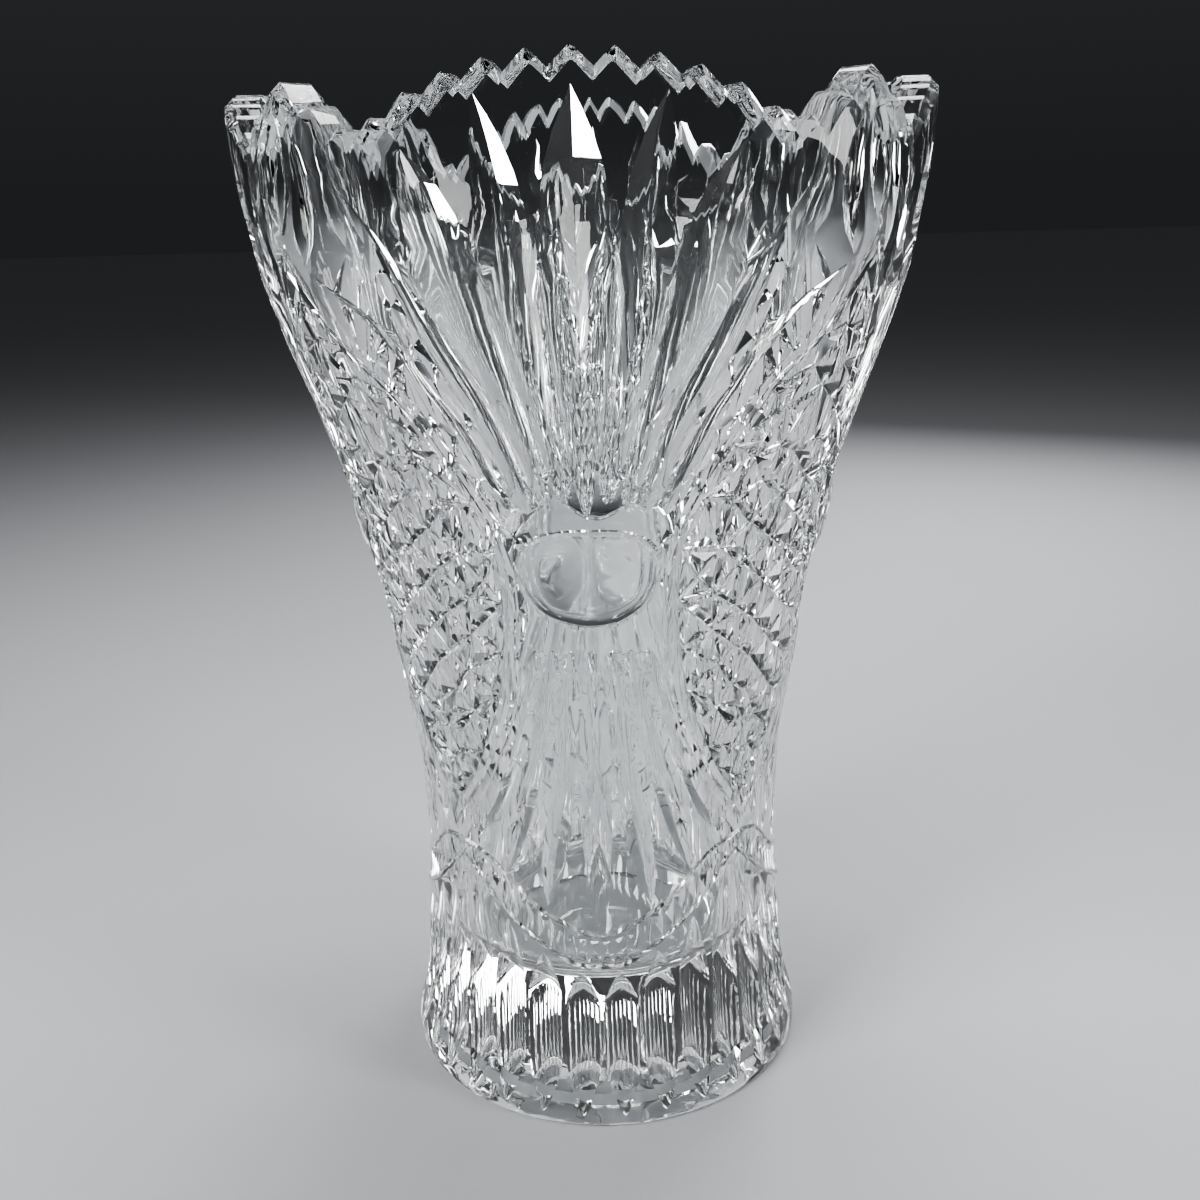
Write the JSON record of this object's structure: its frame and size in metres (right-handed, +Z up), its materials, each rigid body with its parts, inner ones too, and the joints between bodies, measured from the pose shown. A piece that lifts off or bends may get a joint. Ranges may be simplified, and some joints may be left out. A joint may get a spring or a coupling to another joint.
{
  "type": "vase",
  "caption": "Tall flared cut crystal vase with a sawtooth scalloped rim, fan and star cutting, oval lens bosses and a fluted solid foot.",
  "frame": {"origin": "centre of the underside, on the surface that the vase stands on", "axes": "+Z up along the vase's axis, -Y towards the middle of fan 0, +X to the right of that fan"},
  "size_m": [0.1648, 0.1648, 0.254],
  "materials": {
    "crystal": "clear polished lead crystal"
  },
  "bodies": {
    "root": {"foot": "crystal", "lower_wall": "crystal", "upper_wall": "crystal", "rim": "crystal"}
  },
  "joints": []
}
